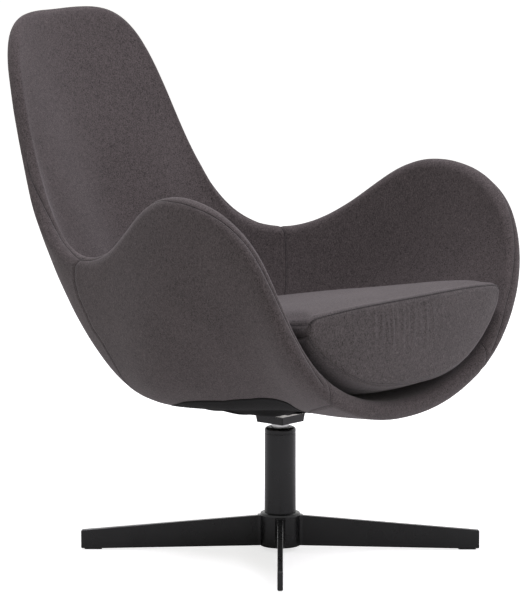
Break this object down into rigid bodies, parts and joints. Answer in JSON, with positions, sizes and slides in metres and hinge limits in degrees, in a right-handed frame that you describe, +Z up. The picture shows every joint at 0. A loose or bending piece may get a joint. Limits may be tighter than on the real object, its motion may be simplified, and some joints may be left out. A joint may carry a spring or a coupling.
{
  "type": "pedestal swivel armchair",
  "caption": "Upholstered tub armchair with a tall back, wing arms and a loose seat cushion, turning on a black steel column with a flat star base.",
  "frame": {"origin": "on the floor under the middle of the chair; the swivel axis is 112 mm in front of it", "axes": "+Z up, the seat faces -Y, +X is the sitter's left; the base is shown turned 50 degrees from the seat, as pictured"},
  "size_m": [0.772, 0.8854, 0.9599],
  "materials": {
    "upholstery": "charcoal brown wool-look cloth",
    "cushion_cloth": "charcoal brown wool-look cloth",
    "lining_cloth": "black non-woven lining",
    "plywood": "bare plywood",
    "black_metal": "satin black powder coat",
    "post_steel": "ground steel",
    "zinc_steel": "zinc plated",
    "black_plastic": "satin black moulding"
  },
  "bodies": {
    "base": {"hub": "black_metal", "leg_front": "black_metal", "leg_right": "black_metal", "leg_rear": "black_metal", "leg_left": "black_metal", "glide_pads": "black_plastic", "column_tube": "black_metal", "column_cap": "black_plastic", "lower_bush": "black_plastic", "thrust_disc": "black_plastic"},
    "seat": {"tub_shell": "upholstery", "seat_board": "plywood", "board_nuts": "zinc_steel", "mounting_plate": "zinc_steel", "mounting_bolts": "zinc_steel", "dust_cover": "lining_cloth", "swivel_tray": "black_metal", "swivel_post": "post_steel", "end_washer": "zinc_steel", "retaining_clip": "zinc_steel"},
    "cushion": {"seat_cushion": "cushion_cloth"}
  },
  "joints": [
    {"name": "swivel", "type": "hinge", "parent": "base", "child": "seat", "pos_m": [0, -0.112, 0.2], "axis": [0, 0, 1], "continuous": true},
    {"name": "cushion_lift", "type": "slide", "parent": "seat", "child": "cushion", "axis": [0, 0, 1], "range_m": [0, 0.25]}
  ]
}
